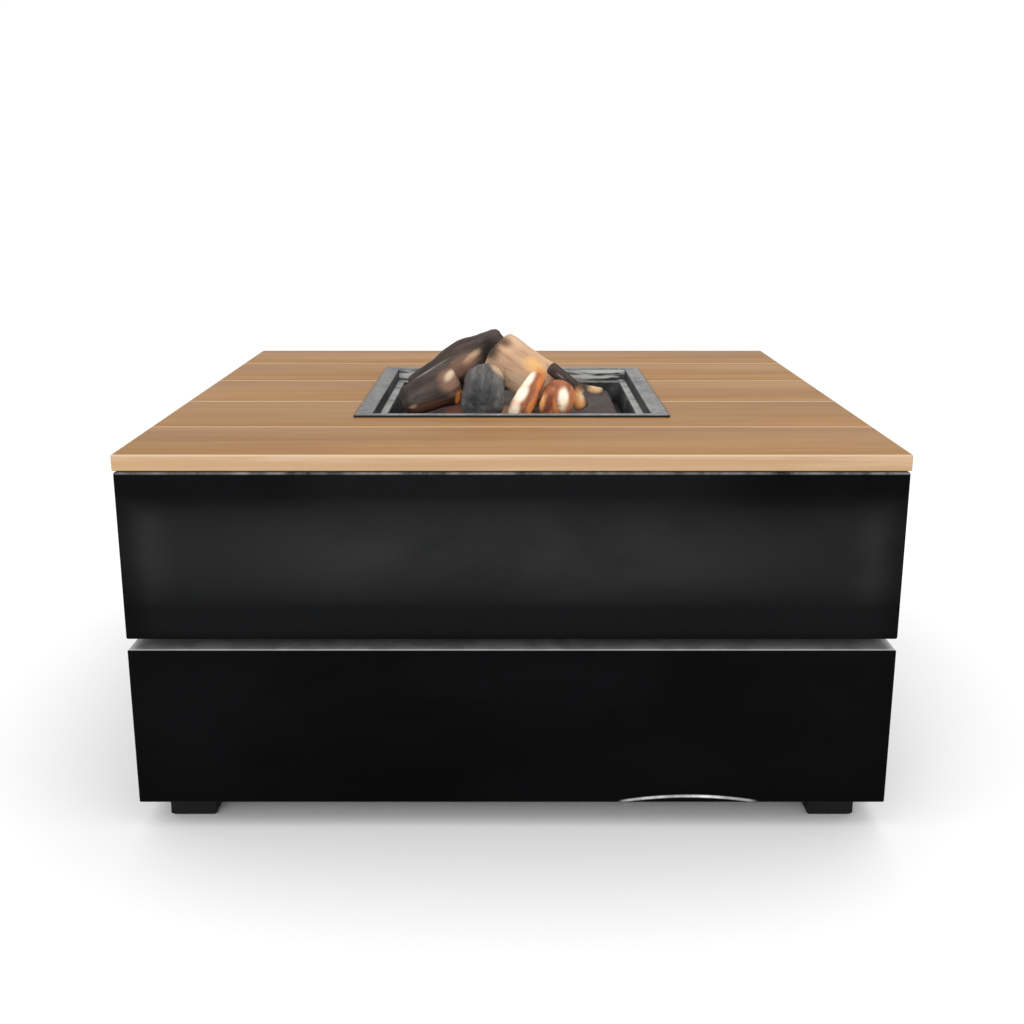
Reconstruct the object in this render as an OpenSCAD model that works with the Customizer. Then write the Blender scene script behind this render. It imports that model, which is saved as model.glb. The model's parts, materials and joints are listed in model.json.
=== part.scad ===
// Square gas fire pit table: teak top, folded sheet body in two bands, back door,
// drop-in burner and a lift-out grate that carries the ceramic logs.
// The origin is the centre of the footprint on the floor, +X right, +Y back, +Z up.

/* [Table] */
// Width of the table top, along X
table_w = 1000; // [940:5:1100]
// Depth of the table top, along Y
table_d = 1000; // [940:5:1100]
// Thickness of the planks
plank_t = 21; // [18:1:28]
// Width of the front and of the back plank
edge_plank_w = 185; // [175:1:200]
// Gap between two planks
plank_gap = 0.6; // [0.4:0.1:2]

/* [Body] */
// Height of the block feet
foot_h = 36; // [30:1:60]
// Height of the lower band of panels
lower_h = 218; // [200:1:260]
// Height of the open gap between the two bands
band_gap = 14; // [10:1:24]
// Height of the upper band of panels
upper_h = 222; // [215:1:260]
// Thin dark gap between the upper band and the planks
shadow_gap = 1.4; // [1:0.1:4]
// Set-back of the panels from the edge of the top
panel_inset = 1.5; // [0:0.5:6]
// Sheet thickness of the panels
sheet_t = 2; // [1.5:0.5:3]
// Depth of the folded edges of a panel
fold_d = 42; // [38:1:42]

/* [Burner] */
// Outside width of the burner flange, along X
flange_w = 456; // [450:1:470]
// Outside depth of the burner flange, along Y
flange_d = 487; // [480:1:495]
// Depth of the well, from the wood down to the floor of the tray
well_depth = 82; // [75:1:95]
// Radius of the ring burner
ring_r = 110; // [80:1:130]

/* [Door] */
// Distance of the hinge pin from the two outer faces of the corner
pin_inset = 12.5; // [12:0.5:14]
// How far the door wraps round the side faces
wrap_d = 26; // [22:1:27]

/* [Controls] */
// Diameter of the control knob
knob_d = 40; // [34:1:46]
// Travel of the control knob when it is pushed
push_travel = 3.5; // [2:0.5:4]
// Travel of the igniter button
igniter_travel = 6; // [4:0.5:6]

/* [Hidden] */

$fn = 48;
eps = 0.01;
weld = 0.3;      // gap left at a welded joint, so that each tube stays one solid
seat = 0.2;      // gap between two faces that rest on each other

// Colours
teak = [0.70, 0.55, 0.39];
black = [0.05, 0.05, 0.055];
zinc = [0.52, 0.52, 0.53];
steel = [0.62, 0.62, 0.63];
iron = [0.16, 0.16, 0.17];
brass = [0.75, 0.60, 0.32];
char = [0.22, 0.20, 0.20];
tan = [0.72, 0.58, 0.44];
ember = [0.85, 0.45, 0.20];

// Heights
lower_z = foot_h;
lower_top = lower_z + lower_h;
upper_z = lower_top + band_gap;
upper_top = upper_z + upper_h;
wood_z = upper_top + shadow_gap;
top_z = wood_z + plank_t;

// Plan sizes
half_w = table_w / 2 - panel_inset;
half_d = table_d / 2 - panel_inset;
post = 40;
tube = 30;
tube_t = 2;
post_x = half_w - fold_d - 1 - post / 2;
post_y = half_d - fold_d - 1 - post / 2;
frame_top = wood_z - 0.3;

// Burner sizes
wall_w = flange_w - 46;
wall_d = flange_d - 30;
ledge_w = 12;
ledge_d = 14.5;
flange_t = 3;
flange_z = top_z + 0.1;
flange_top = flange_z + flange_t;
ledge_top = top_z - 19;
ledge_t = 2;
tray_w = wall_w - 2 * ledge_w;
tray_d = wall_d - 2 * ledge_d;
tray_t = 1.5;
tray_floor = top_z - well_depth;
rail_x = wall_w / 2 + 22;
rail_y = wall_d / 2 + 22;
grate_z = tray_floor + 20;
grate_h = 6;
ring_z = tray_floor + 10;
ring_tube = 7;
shield_z = tray_floor - 32;
pipe_z = shield_z - 19.4;
bed_z = grate_z + grate_h + 28;
bed_w = tray_w - 30;
bed_d = tray_d - 36;
log_scale = min(bed_w / 356, bed_d / 392);

// Planks: the front and back ones, then three equal ones between them
inner_plank_w = (table_d - 2 * edge_plank_w) / 3;
cut_w = wall_w + 3;
cut_d = wall_d + 3;
batten_x = 330;
batten_w = 44;
batten_t = 18;
plank_y = [-table_d / 2 + edge_plank_w / 2, -inner_plank_w, 0, inner_plank_w,
  table_d / 2 - edge_plank_w / 2];
screw_r = 2.5;

// Door: the pin stands inside the back left corner
pin_x = -half_w + pin_inset;
pin_y = half_d - pin_inset;
wrap_y = half_d - wrap_d;
side_end = pin_y - norm([pin_inset, wrap_d - pin_inset]) - 1.2;
hinge_z = [lower_z + lower_h / 2, upper_z + upper_h / 2];
knuckle_r = 5;
pin_r = 2.5;
knuckle_h = 18;
knuckle_play = 0.4;
leaf_t = 3;
door_tube = 20;
door_tube_y = half_d - sheet_t - seat - door_tube / 2;
door_post_x = post_x - 6;
door_z0 = lower_z + sheet_t + 2;
door_z1 = upper_top - sheet_t - 2;
pull_x = door_post_x - 90;

// Controls, on the right face of the upper band
ctrl_y = 260;
ctrl_z = upper_z + upper_h / 2;
cup_w = 150;
cup_h = 84;
cup_depth = 23;
cup_t = 1.5;
cup_floor = half_w - cup_depth;
knob_y = ctrl_y - 28;
button_y = ctrl_y + 40;
spindle_r = 4;
knob_back = cup_floor + 7.4;
knob_len = 16;
barrel_r = 11;
button_r = 8;

// ---------- helpers ----------

// Puts a child that stands on +Z between two points
module along(a, b) {
  d = b - a;
  translate(a) rotate([0, acos(d[2] / norm(d)), atan2(d[1], d[0])]) children();
}

// The points of a route, without repeats and without those on a straight run
function distinct(p) = [for (i = [0 : len(p) - 1])
  if (i == 0 || norm(p[i] - p[max(i - 1, 0)]) > 0.05) p[i]];
function corners(p) = [for (i = [0 : len(p) - 1])
  if (i == 0 || i == len(p) - 1
    || norm(cross(p[i] - p[max(i - 1, 0)], p[min(i + 1, len(p) - 1)] - p[i])) > 0.01) p[i]];

// A round bar through a list of points, with ball corners
module route(list, r) {
  points = corners(distinct(list));
  for (i = [0 : len(points) - 2])
    along(points[i], points[i + 1]) cylinder(h = norm(points[i + 1] - points[i]), r = r);
  for (i = [1 : 1 : len(points) - 2]) translate(points[i]) sphere(r = r);
}

module box(size) {
  cube(size, center = true);
}

// Square tube of length l along Z, centred
module tube_z(l, s) {
  difference() {
    box([s, s, l]);
    box([s - 2 * tube_t, s - 2 * tube_t, l + 2]);
  }
}
module tube_x(l, s) { rotate([0, 90, 0]) tube_z(l, s); }
module tube_y(l, s) { rotate([90, 0, 0]) tube_z(l, s); }

// Rectangle with round corners, with its lower left corner at the origin
module round_rect(w, h, r) {
  translate([r, 0]) square([w - 2 * r, h]);
  translate([0, r]) square([w, h - 2 * r]);
  for (x = [r, w - r], y = [r, h - r]) translate([x, y]) circle(r);
}

// ---------- table top ----------

module plank_body(y, w, x0, x1) {
  r = 2;
  translate([x0, y - w / 2, wood_z]) rotate([90, 0, 90])
    linear_extrude(x1 - x0) round_rect(w, plank_t, r);
}

module screw_holes(x_list, y) {
  for (x = x_list)
    translate([x, y, wood_z - 1]) cylinder(h = plank_t - 6 + 1, r = screw_r + 0.15);
}

module plank(i, x0, x1) {
  w = (i == 0 || i == 4) ? edge_plank_w - plank_gap / 2 : inner_plank_w - plank_gap;
  shift = i == 0 ? -plank_gap / 4 : i == 4 ? plank_gap / 4 : 0;
  color(teak) difference() {
    plank_body(plank_y[i] + shift, w, x0, x1);
    translate([0, 0, wood_z]) box([cut_w, cut_d, 3 * plank_t]);
    screw_holes([-batten_x, batten_x], plank_y[i]);
  }
}

module plank_front() { plank(0, -table_w / 2, table_w / 2); }
module plank_front_middle() { plank(1, -table_w / 2, table_w / 2); }
module plank_middle_left() { plank(2, -table_w / 2, 0); }
module plank_middle_right() { plank(2, 0, table_w / 2); }
module plank_back_middle() { plank(3, -table_w / 2, table_w / 2); }
module plank_back() { plank(4, -table_w / 2, table_w / 2); }

module top_battens() {
  l = 2 * (post_y - tube / 2 - 2);
  color(teak) for (x = [-batten_x, batten_x])
    difference() {
      translate([x, 0, frame_top - batten_t / 2]) box([batten_w, l, batten_t]);
      for (y = plank_y)
        translate([x, y, frame_top - batten_t - 1])
          cylinder(h = batten_t + 2, r = screw_r + 0.15);
    }
}

module plank_screws() {
  color(steel) for (x = [-batten_x, batten_x], y = plank_y)
    translate([x, y, frame_top - batten_t - seat]) {
      translate([0, 0, -3]) cylinder(h = 3, r = 5);
      cylinder(h = batten_t + 14, r = screw_r);
    }
}

// ---------- frame ----------

module base_frame() {
  z = lower_z + sheet_t + 0.3 + tube / 2;
  color(black) {
    for (y = [-post_y, post_y])
      translate([0, y, z]) tube_x(2 * post_x - post - 2 * weld, tube);
    for (x = [-post_x, post_x])
      translate([x, 0, z]) tube_y(2 * post_y - post - 2 * weld, tube);
  }
}

module top_frame() {
  z = frame_top - tube / 2;
  color(black) {
    for (y = [-post_y, post_y])
      translate([0, y, z]) tube_x(2 * post_x - post - 2 * weld, tube);
    for (x = [-post_x, post_x])
      translate([x, 0, z]) tube_y(2 * post_y - post - 2 * weld, tube);
  }
}

module burner_rails() {
  z = frame_top - tube / 2;
  color(black) {
    for (x = [-rail_x, rail_x])
      translate([x, 0, z]) tube_y(2 * post_y - tube - 2 * weld, tube);
    for (y = [-rail_y, rail_y])
      translate([0, y, z]) tube_x(2 * rail_x - tube - 2 * weld, tube);
  }
}

// Corner post with a bottom plate that takes the foot screw
module corner_post(sx, sy) {
  plate_t = 4;
  z0 = foot_h + seat;
  color(black) translate([sx * post_x, sy * post_y, 0]) difference() {
    translate([0, 0, (z0 + frame_top) / 2]) box([post, post, frame_top - z0]);
    translate([0, 0, z0 + plate_t]) translate([0, 0, table_d / 2])
      box([post - 2 * tube_t, post - 2 * tube_t, table_d]);
    translate([0, 0, z0 - 1]) cylinder(h = plate_t + 2, r = 4.2);
  }
}
module post_front_left() { corner_post(-1, -1); }
module post_front_right() { corner_post(1, -1); }
module post_back_left() { corner_post(-1, 1); }
module post_back_right() { corner_post(1, 1); }

module base_shelf() {
  reach = tube / 2 - 2;
  z = lower_z + sheet_t + 0.3 + tube + seat;
  color(black) difference() {
    translate([0, 0, z + 1]) union() {
      box([2 * (post_x + reach), 2 * post_y - post - 1, 2]);
      box([2 * post_x - post - 1, 2 * (post_y + reach), 2]);
    }
    for (x = [-250, 250], y = [-250, 250])
      translate([x, y, z - 1]) cylinder(h = 4, r = 30);
  }
}

// Block foot, with the lower edges cut at 45 degrees
module foot(sx, sy) {
  s = 62;
  c = 4;
  profile = [[-s / 2 + c, 0], [s / 2 - c, 0], [s / 2, c], [s / 2, foot_h],
    [-s / 2, foot_h], [-s / 2, c]];
  color(black) translate([sx * post_x, sy * post_y, 0]) difference() {
    intersection() {
      rotate([90, 0, 0]) linear_extrude(s, center = true) polygon(profile);
      rotate([90, 0, 90]) linear_extrude(s, center = true) polygon(profile);
    }
    translate([0, 0, -1]) cylinder(h = foot_h + 2, r = 4.2);
    translate([0, 0, -1]) cylinder(h = 13, r = 9);
  }
}
module foot_front_left() { foot(-1, -1); }
module foot_front_right() { foot(1, -1); }
module foot_back_left() { foot(-1, 1); }
module foot_back_right() { foot(1, 1); }

// Screws with their nuts inside the posts
module foot_screws() {
  nut_z = foot_h + seat + 4 + seat;
  color(steel) for (sx = [-1, 1], sy = [-1, 1])
    translate([sx * post_x, sy * post_y, 0]) {
      translate([0, 0, 6]) cylinder(h = 6 - seat, r = 7);
      translate([0, 0, 6]) cylinder(h = foot_h + 12, r = 4);
      translate([0, 0, nut_z]) difference() {
        cylinder(h = 6.5, r = 7.5, $fn = 6);
        translate([0, 0, -1]) cylinder(h = 9, r = 4.05);
      }
    }
}

// ---------- body panels ----------

// Folded sheet: a face with its upper and lower edge turned back by depth d.
// In the profile, x = 0 is the outer face.
module fold_profile(h, d) {
  r_out = sheet_t + 1;
  difference() {
    round_rect(2 * d, h, r_out);
    translate([sheet_t, sheet_t]) round_rect(2 * d, h - 2 * sheet_t, 1);
    translate([d, -1]) square([2 * d, h + 2]);
  }
}

// Panel on the front face, with its ends mitred at 45 degrees
module front_panel(z, h) {
  color(black) intersection() {
    translate([-half_w, -half_d, z]) rotate([90, 0, 90]) linear_extrude(2 * half_w)
      fold_profile(h, fold_d);
    mitre = half_w - weld;
    linear_extrude(2 * table_d)
      polygon([[-mitre, -half_d - eps], [mitre, -half_d - eps],
        [mitre - 2 * fold_d, 2 * fold_d - half_d], [2 * fold_d - mitre, 2 * fold_d - half_d]]);
  }
}

// Panel on a side face: mitred at the front, cut square at the back
module side_panel(side, z, h) {
  mitre = half_d - weld;
  color(black) mirror([side > 0 ? 1 : 0, 0, 0]) intersection() {
    translate([-half_w, side_end, z]) rotate([90, 0, 0])
      linear_extrude(side_end + half_d) fold_profile(h, fold_d);
    linear_extrude(2 * table_d)
      polygon([[-half_w - eps, -mitre], [-half_w - eps, side_end],
        [2 * fold_d - half_w, side_end], [2 * fold_d - half_w, 2 * fold_d - mitre]]);
  }
}

module panel_upper_front() { front_panel(upper_z, upper_h); }
module panel_lower_front() { front_panel(lower_z, lower_h); }
module panel_upper_left() { side_panel(-1, upper_z, upper_h); }
module panel_lower_left() { side_panel(-1, lower_z, lower_h); }
module panel_lower_right() { side_panel(1, lower_z, lower_h); }
module panel_upper_right() {
  color(black) difference() {
    side_panel(1, upper_z, upper_h);
    translate([half_w, ctrl_y, ctrl_z]) box([3 * sheet_t, cup_w + 5, cup_h + 5]);
  }
}

// Welded clips between the panels and the posts, two for each panel
module panel_clips() {
  l = fold_d + 1 - sheet_t - 2 * seat;
  t = 4;
  h = 60;
  color(black) for (z = [lower_z + lower_h / 2, upper_z + upper_h / 2]) {
    for (sx = [-1, 1])
      translate([sx * (post_x + 4), -half_d + sheet_t + seat + l / 2, z]) box([t, l, h]);
    for (sx = [-1, 1], y = [-post_y - 4, post_y - 14])
      translate([sx * (half_w - sheet_t - seat - l / 2), y, z]) box([l, t, h]);
  }
}

// ---------- back door ----------

// Pan-shaped door panel that wraps round both back corners
module door_pan(z, h) {
  r = 3;
  color(black) translate([0, 0, z]) difference() {
    intersection() {
      linear_extrude(h) translate([-half_w, half_d - 2 * wrap_d])
        round_rect(2 * half_w, 2 * wrap_d, r);
      translate([-half_w, half_d, 0]) rotate([90, 0, 90]) linear_extrude(2 * half_w)
        mirror([1, 0]) round_rect(2 * wrap_d, h, r);
    }
    translate([-half_w + sheet_t, half_d - 3 * wrap_d, sheet_t])
      cube([2 * (half_w - sheet_t), 3 * wrap_d - sheet_t, h - 2 * sheet_t]);
    translate([-half_w - 1, half_d - 3 * wrap_d, -1])
      cube([2 * half_w + 2, 2 * wrap_d, h + 2]);
    // notches that the upright tubes of the door frame pass through
    for (x = [-door_post_x, door_post_x])
      translate([x, door_tube_y, door_z0 - z + (door_z1 - door_z0) / 2])
        box([door_tube + 1, door_tube + 2 * seat, door_z1 - door_z0]);
  }
}
module door_panel_upper() { door_pan(upper_z, upper_h); }
module door_panel_lower() { door_pan(lower_z, lower_h); }

module door_frame() {
  color(black) {
    for (x = [-door_post_x, door_post_x])
      translate([x, door_tube_y, (door_z0 + door_z1) / 2]) tube_z(door_z1 - door_z0, door_tube);
    for (z = [door_z0 + door_tube / 2, (lower_top + upper_z) / 2 - 40, door_z1 - door_tube / 2])
      translate([0, door_tube_y, z])
        tube_x(2 * door_post_x - door_tube - 2 * weld, door_tube);
    // striker plate for the catches
    translate([door_post_x - 60, door_tube_y - door_tube / 2 - 1 - seat, door_z1 - 10])
      box([60, 2, 16]);
  }
}

// Each hinge has two fixed knuckles and one door knuckle between them
knuckle_step = knuckle_h + knuckle_play;

module hinge_fixed_leaves() {
  reach = pin_x + 36;
  color(steel) for (z = hinge_z) difference() {
    union() {
      for (s = [-1, 1]) translate([0, 0, z + s * knuckle_step]) {
        translate([pin_x, pin_y, 0]) cylinder(h = knuckle_h, r = knuckle_r, center = true);
        translate([pin_x, pin_y - leaf_t / 2, -knuckle_h / 2])
          cube([reach - pin_x, leaf_t, knuckle_h]);
      }
      translate([reach - leaf_t, post_y + post / 2 + seat, z - 1.5 * knuckle_step])
        cube([leaf_t, pin_y - post_y - post / 2 - seat + leaf_t / 2, 3 * knuckle_step]);
      translate([reach - leaf_t, post_y + post / 2 + seat, z - 1.5 * knuckle_step])
        cube([30, leaf_t, 3 * knuckle_step]);
    }
    translate([pin_x, pin_y, z]) cylinder(h = 200, r = pin_r + 0.05, center = true);
  }
}

module hinge_door_leaves() {
  face = half_d - sheet_t - seat;
  color(steel) for (z = hinge_z) difference() {
    union() {
      translate([pin_x, pin_y, z]) cylinder(h = knuckle_h, r = knuckle_r, center = true);
      translate([pin_x - leaf_t / 2, pin_y, z - knuckle_h / 2])
        cube([leaf_t, face - pin_y, knuckle_h]);
      translate([pin_x - leaf_t / 2, face - leaf_t, z - 1.5 * knuckle_step])
        cube([36, leaf_t, 3 * knuckle_step]);
    }
    translate([pin_x, pin_y, z]) cylinder(h = 200, r = pin_r + 0.05, center = true);
  }
}

module hinge_pins() {
  l = 3 * knuckle_h + 2 * knuckle_play + 2;
  color(steel) for (z = hinge_z) translate([pin_x, pin_y, z]) {
    cylinder(h = l, r = pin_r, center = true);
    translate([0, 0, l / 2]) cylinder(h = 2, r = 4);
  }
}

// Edge grip over the folded edge of the upper door panel, reached through the gap
module door_pull() {
  w = 110;
  lip = 2;
  color(black) translate([pull_x - w / 2, wrap_y - lip, upper_z - lip]) difference() {
    cube([w, 12, sheet_t + 2 * lip]);
    translate([-1, lip - seat, lip - seat]) cube([w + 2, 12, sheet_t + 2 * seat]);
  }
}

// Two magnets on a bracket under the top frame
module magnet_catches() {
  face = door_tube_y - door_tube / 2 - 2 - 2 * seat;
  color(iron) for (dx = [-15, 15]) {
    y0 = post_y + tube / 2 + seat;
    translate([door_post_x - 60 + dx - 8, y0, door_z1 - 18]) cube([16, face - y0 - 0.2, 14]);
  }
}

// ---------- burner ----------

module ring_box(w, d, z0, z1, t) {
  translate([0, 0, (z0 + z1) / 2]) difference() {
    box([w, d, z1 - z0]);
    box([w - 2 * t, d - 2 * t, z1 - z0 + 2]);
  }
}

module burner_frame() {
  wall_t = 2;
  color(zinc) difference() {
    union() {
      translate([0, 0, flange_z + flange_t / 2]) box([flange_w, flange_d, flange_t]);
      translate([0, 0, (ledge_top - ledge_t + flange_top) / 2])
        box([wall_w, wall_d, flange_top - ledge_top + ledge_t]);
    }
    translate([0, 0, ledge_top + 50]) box([wall_w - 2 * wall_t, wall_d - 2 * wall_t, 100]);
    translate([0, 0, ledge_top]) box([tray_w, tray_d, 100]);
  }
}

module burner_tray() {
  lip_z = ledge_top - ledge_t - seat - tray_t;
  color(iron) difference() {
    union() {
      translate([0, 0, lip_z + tray_t / 2]) box([tray_w + 18, tray_d + 18, tray_t]);
      translate([0, 0, (tray_floor - tray_t + lip_z) / 2])
        box([tray_w, tray_d, lip_z - tray_floor + tray_t]);
    }
    translate([0, 0, tray_floor + 100])
      box([tray_w - 2 * tray_t, tray_d - 2 * tray_t, 200]);
    translate([0, 0, tray_floor - 5]) cylinder(h = 10, r = 8.5);
    translate([tray_hole_x, pilot_y, tray_floor - 5]) cylinder(h = 10, r = 11);
  }
  // rests that carry the grate
  rest_h = grate_z - seat - tray_floor - 4;
  color(iron) for (sx = [-1, 1], sy = [-1, 1])
    translate([sx * (tray_w / 2 - tray_t - 6), sy * (tray_d / 2 - tray_t - 30),
      tray_floor + 4 + rest_h / 2 - eps]) box([12 + eps, 20, rest_h]);
}

module heat_shield() {
  gap = tray_floor - tray_t - seat - shield_z;
  color(zinc) difference() {
    union() {
      translate([0, 0, shield_z]) box([tray_w - 26, tray_d - 28, 1.5]);
      for (sx = [-1, 1], sy = [-1, 1])
        translate([sx * (tray_w / 2 - 30), sy * (tray_d / 2 - 30), shield_z])
          cylinder(h = gap, r = 5);
    }
    translate([0, 0, shield_z - 5]) cylinder(h = 10, r = 16);
  }
}

// The pilot stands between the ring and the wall of the tray
pilot_mid = (ring_r + ring_tube + tray_w / 2 - tray_t) / 2;
pilot_x = pilot_mid - 12.25;
pilot_y = 60;
tray_hole_x = pilot_mid + 10.75;

module burner_ring() {
  color(steel) translate([0, 0, ring_z]) difference() {
    union() {
      rotate_extrude($fn = 96) translate([ring_r, 0]) circle(ring_tube);
      rotate([0, 90, 0]) cylinder(h = 2 * ring_r, r = 5, center = true);
      cylinder(h = 18, r = 13, center = true);
      translate([0, 0, -20]) cylinder(h = 15, r = 8);
      for (a = [45 : 90 : 315]) rotate(a) translate([ring_r, 0, ring_tube - 16.8])
        cylinder(h = 12, r = 3);
    }
    for (a = [0 : 15 : 345]) rotate(a) translate([ring_r, 0, 0]) cylinder(h = 10, r = 1.5);
  }
}

// Supply pipe with the air mixer under the tray
module gas_pipe() {
  start = [cup_floor - 59.2, knob_y, ctrl_z];
  drop = start - [24, 0, 0];
  mixer_top = tray_floor - 10.4;
  color(steel) difference() {
    union() {
      route([start, drop, [drop[0], knob_y, pipe_z], [0, knob_y, pipe_z],
        [0, 0, pipe_z], [0, 0, mixer_top - 5]], 6);
      translate([0, 0, pipe_z + 12]) cylinder(h = mixer_top - pipe_z - 12, r = 12);
    }
    for (a = [0, 90]) rotate(a) translate([0, 0, pipe_z + 18]) rotate([0, 90, 0])
      cylinder(h = 40, r = 2.5, center = true);
  }
}

module pilot_assembly() {
  z0 = tray_floor + seat;
  color(steel) {
    translate([pilot_x, pilot_y, z0 + 1]) box([22, 46, 2]);
    translate([pilot_x, pilot_y + 10, z0]) cylinder(h = 15, r = 5);
    translate([pilot_x, pilot_y - 12, z0]) cylinder(h = 14, r = 3.5);
    translate([pilot_x - 11, pilot_y - 1, z0]) cube([2, 2, 14]);
  }
}

// Sensor tip beside the pilot, with its capillary down to the valve
module thermocouple() {
  tip_y = pilot_y - 30;
  drop_z = shield_z + 16;
  over_z = ctrl_z + 35.4;
  color(brass) {
    translate([pilot_x + 2, tip_y, tray_floor + 2]) cylinder(h = 12, r = 2.5);
    route([[pilot_x + 2, tip_y, tray_floor + 3], [tray_hole_x, tip_y, tray_floor + 3],
      [tray_hole_x, pilot_y - 5, tray_floor + 3], [tray_hole_x, pilot_y - 5, drop_z],
      [tray_hole_x + 60, pilot_y - 5, drop_z], [tray_hole_x + 60, knob_y - 12, drop_z],
      [tray_hole_x + 60, knob_y - 12, over_z], [cup_floor - 15, knob_y - 12, over_z],
      [cup_floor - 15, knob_y - 12, ctrl_z + 20.4]], 1.5);
  }
}

// Insulated spark lead from the igniter to the electrode
module ignition_lead() {
  drop_z = shield_z + 8;
  color(black) route([[pilot_x + 11.6, pilot_y + 4, tray_floor + 5],
    [tray_hole_x, pilot_y + 4, tray_floor + 5], [tray_hole_x, pilot_y + 4, drop_z],
    [tray_hole_x + 50, pilot_y + 4, drop_z], [tray_hole_x + 50, button_y, drop_z],
    [cup_floor - 46, button_y, drop_z], [cup_floor - 46, button_y, ctrl_z],
    [cup_floor - 35.4, button_y, ctrl_z]], 2);
}

// ---------- fire bed ----------

module grate() {
  w = tray_w - 2 * tray_t - 6;
  d = tray_d - 2 * tray_t - 6;
  pitch = 12;
  count = floor((w - 20) / pitch / 2);
  color(iron) {
    ring_box(w, d, grate_z, grate_z + grate_h, 8);
    for (i = [-count : count])
      translate([i * pitch, 0, grate_z + grate_h / 2]) box([8, d - 10, grate_h]);
    for (y = [-d / 6, d / 6])
      translate([0, y, grate_z + grate_h / 2 - 1]) box([w - 10, 6, grate_h - 2]);
  }
}

// Turned log between two points, with bevelled ends. The heights are above the bed, and
// the whole set of logs is as large as the bed allows.
function on_bed(p) = p * log_scale + [0, 0, bed_z];
module log_piece(foot, head, foot_r, head_r) {
  l = norm(head - foot) * log_scale;
  r0 = foot_r * log_scale;
  r1 = head_r * log_scale;
  along(on_bed(foot), on_bed(head)) rotate_extrude()
    polygon([[0, -0.35 * r0], [0.62 * r0, -0.3 * r0], [r0, 0.15 * r0],
      [r1, l - 0.15 * r1], [0.62 * r1, l + 0.3 * r1], [0, l + 0.4 * r1]]);
}

// Moulded ceramic bed with sloping sides, on which the logs stand
module ember_bed() {
  z = grate_z + grate_h + seat;
  slope = 16;
  color(char) hull() {
    translate([0, 0, z + 3]) box([bed_w, bed_d, 6]);
    translate([0, 0, bed_z - seat - 3]) box([bed_w - slope, bed_d - slope, 6]);
  }
}

module log_left() {
  bend = [-78, 58, 68];
  color(char) {
    log_piece([-160, 56, 23], bend, 22, 36);
    log_piece(bend, [-22, 62, 82], 37, 39);
  }
}
module log_low_left() {
  color(char) log_piece([-158, -96, 28], [-99, -70, 48], 26, 33);
}
module log_front() {
  color(char) log_piece([-44, -164, 33], [-42, -102, 57], 32, 32);
}
module log_right() {
  color(tan) log_piece([52, -34, 40], [-18, -18, 88], 38, 37);
}
module log_split() {
  bend = [24, -134, 42];
  color(ember) {
    log_piece([10, -164, 22], bend, 18, 18);
    log_piece(bend, [39, -110, 64], 17, 14);
  }
}
module log_end() {
  color(ember) log_piece([66, -146, 27], [73, -110, 38], 25, 26);
}
module log_small() {
  fork = [95, -72, 46];
  color(char) {
    log_piece([62, -82, 76], fork, 10, 11);
    log_piece(fork, [109, -74, 15], 9, 12);
    log_piece(fork, [140, -76, 39], 7, 6);
  }
}

// ---------- controls ----------

module control_panel() {
  color(steel) difference() {
    union() {
      translate([half_w + 0.1 + cup_t / 2, ctrl_y, ctrl_z])
        box([cup_t, cup_w + 22, cup_h + 22]);
      translate([(cup_floor + half_w + 1) / 2 - cup_t / 2, ctrl_y, ctrl_z])
        box([cup_depth + 1 + cup_t, cup_w + 2 * cup_t, cup_h + 2 * cup_t]);
    }
    translate([cup_floor + 25, ctrl_y, ctrl_z]) box([50, cup_w, cup_h]);
    translate([cup_floor, knob_y, ctrl_z]) rotate([0, 90, 0])
      cylinder(h = 10, r = 6, center = true);
    translate([cup_floor, button_y, ctrl_z]) rotate([0, 90, 0])
      cylinder(h = 10, r = barrel_r + 0.15, center = true);
  }
}

module bar_x(x0, x1, y, r) {
  translate([x0, y, ctrl_z]) rotate([0, 90, 0]) cylinder(h = x1 - x0, r = r);
}

// Valve block with its inlet nipple below and its outlet behind
module valve_body() {
  back = cup_floor - 40;
  front = cup_floor - cup_t - seat;
  color(brass) difference() {
    union() {
      translate([(back + front) / 2, knob_y, ctrl_z]) box([front - back, 36, 36]);
      bar_x(back - 19, back + 2, knob_y, 7);
      translate([back + 14, knob_y, ctrl_z - 46]) cylinder(h = 40, r = 6);
    }
    bar_x(back + 12, front + 5, knob_y, spindle_r + 0.05);
    translate([back + 14, knob_y, ctrl_z - 50]) cylinder(h = 24, r = 3);
  }
}

module valve_spindle() {
  color(steel) bar_x(cup_floor - 40 + 12 + push_travel + 0.8, knob_back + 12, knob_y, spindle_r);
}

// Washer that rides on the spindle behind the knob
module push_collar() {
  color(steel) difference() {
    bar_x(knob_back - 2.4, knob_back - 0.4, knob_y, 9);
    bar_x(knob_back - 5, knob_back + 5, knob_y, spindle_r + 0.05);
  }
}

module control_knob() {
  r = knob_d / 2;
  flutes = 12;
  color(black) difference() {
    union() {
      bar_x(knob_back, knob_back + 5, knob_y, r);
      bar_x(knob_back + 4, knob_back + knob_len, knob_y, r - 3);
    }
    bar_x(knob_back - 1, knob_back + 12.4, knob_y, spindle_r + 0.05);
    translate([knob_back + 7, knob_y, ctrl_z]) rotate([0, 90, 0])
      for (a = [0 : 360 / flutes : 359]) rotate(a) translate([r - 0.5, 0, 0])
        cylinder(h = knob_len, r = 3.5);
    translate([knob_back + knob_len - 0.6, knob_y - 1, ctrl_z + 4]) cube([2, 2, r]);
  }
}

module igniter_body() {
  back = cup_floor - 35;
  color(black) difference() {
    union() {
      bar_x(back, cup_floor + 1, button_y, barrel_r);
      bar_x(cup_floor + seat, cup_floor + 2.5, button_y, barrel_r + 3);
    }
    bar_x(back + 15, cup_floor + 10, button_y, button_r + 0.1);
  }
}

module igniter_button() {
  back = cup_floor - 35;
  color(steel) bar_x(back + 15 + igniter_travel + 1, cup_floor + 12, button_y, button_r);
}

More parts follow.
